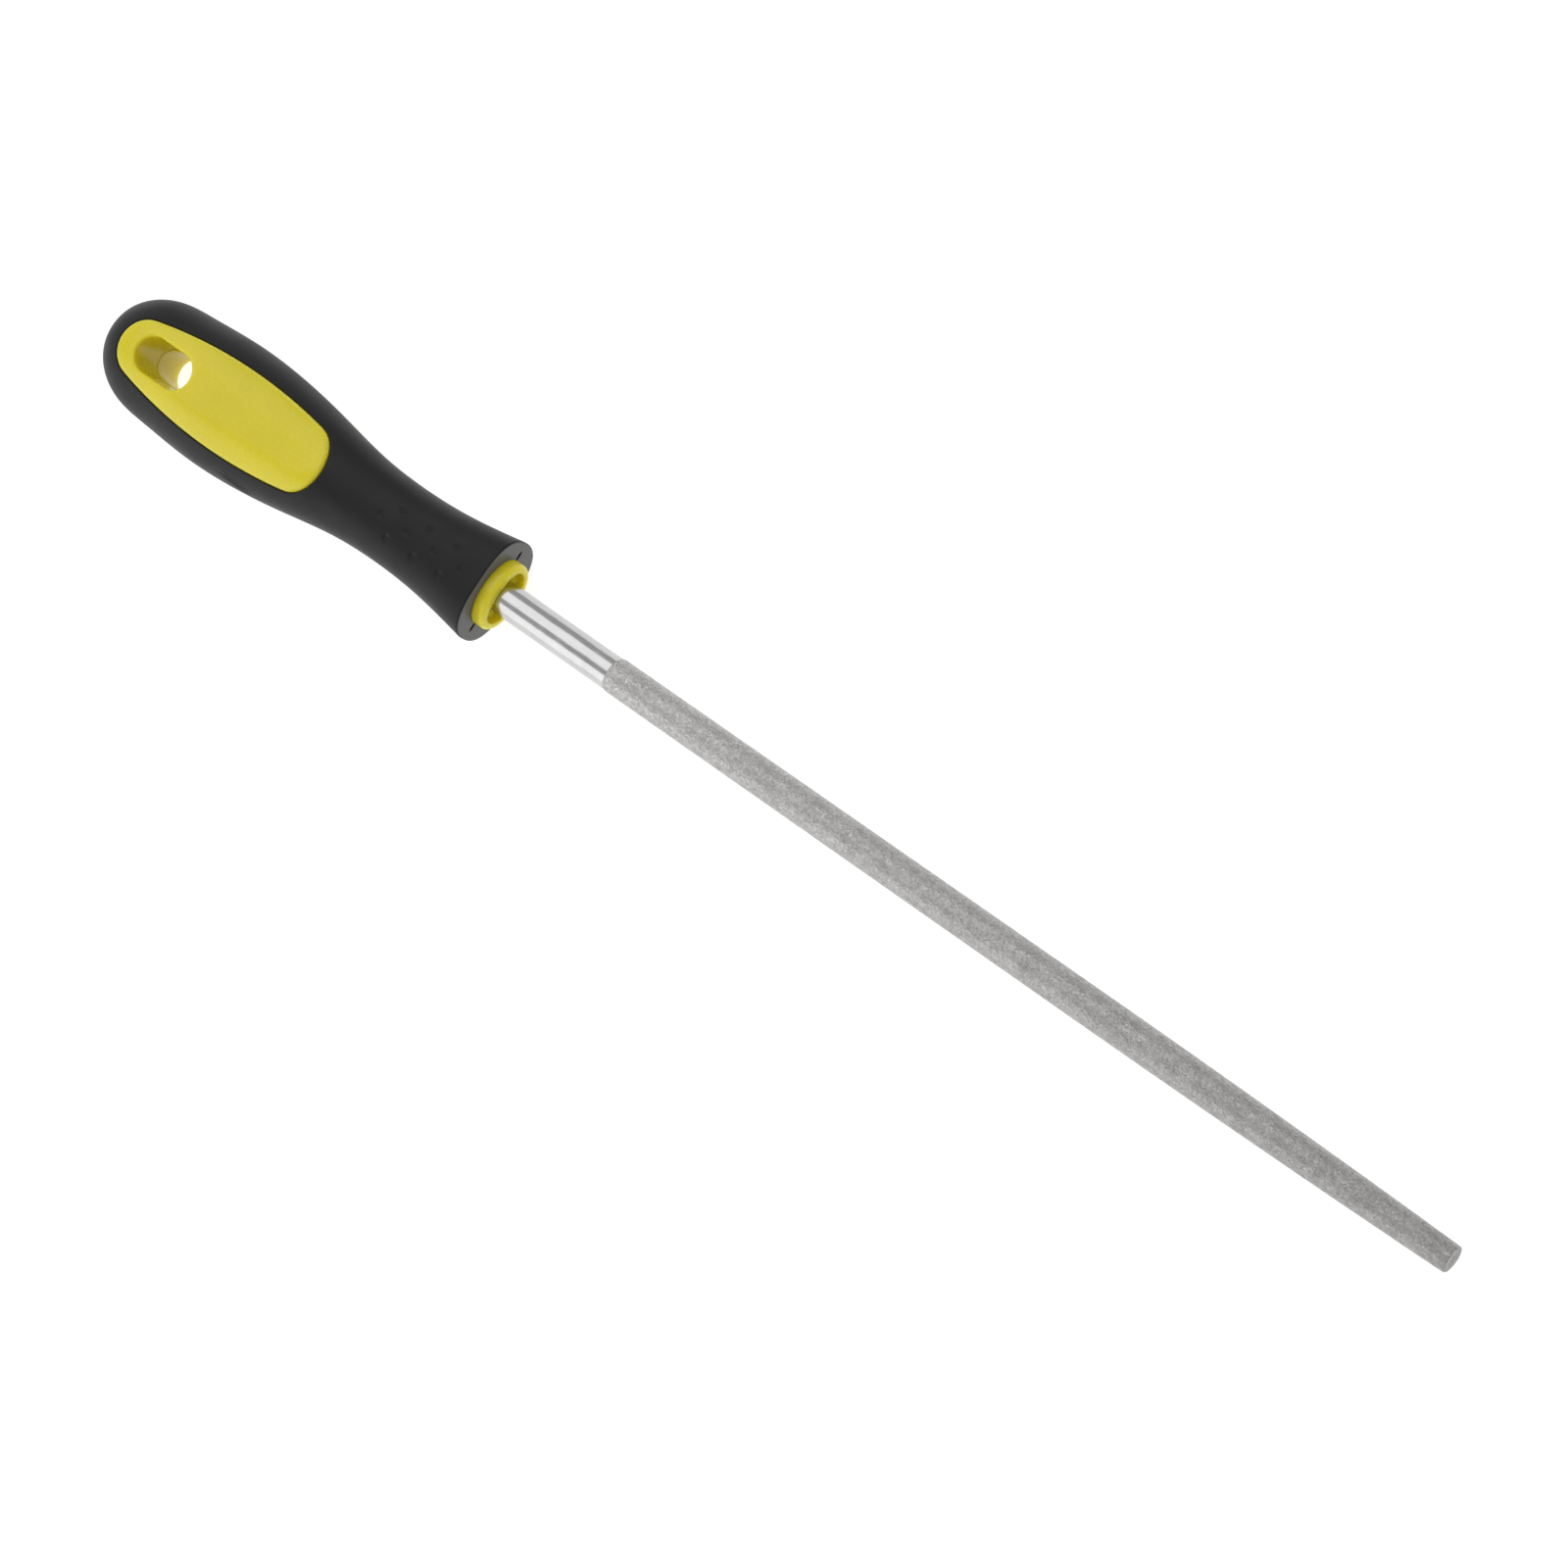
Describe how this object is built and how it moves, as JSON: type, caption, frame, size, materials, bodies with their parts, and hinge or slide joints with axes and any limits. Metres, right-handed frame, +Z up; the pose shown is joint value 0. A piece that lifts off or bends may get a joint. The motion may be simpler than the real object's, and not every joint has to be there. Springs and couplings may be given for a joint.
{
  "type": "round file",
  "caption": "Long round file with a grit-coated, gently tapering working length, a bright smooth shank, and an oval two-colour moulded handle with a hang slot.",
  "frame": {"origin": "middle of the whole length, on the level that the handle's flat rests on", "axes": "+X along the file towards its tip, +Y across the handle, +Z up through the handle's oval windows"},
  "size_m": [0.3702, 0.0298, 0.0217],
  "materials": {
    "steel": "smooth bright plated steel with faint lengthwise ripple",
    "grit": "fine sparkling abrasive grains held in dull plating",
    "yellow_plastic": "glossy slightly translucent moulded plastic",
    "black_rubber": "soft satin moulded rubber"
  },
  "bodies": {
    "root": {"file_bar": "steel", "grit_coat": "grit", "handle_core": "yellow_plastic", "grip_sleeve": "black_rubber"}
  },
  "joints": []
}
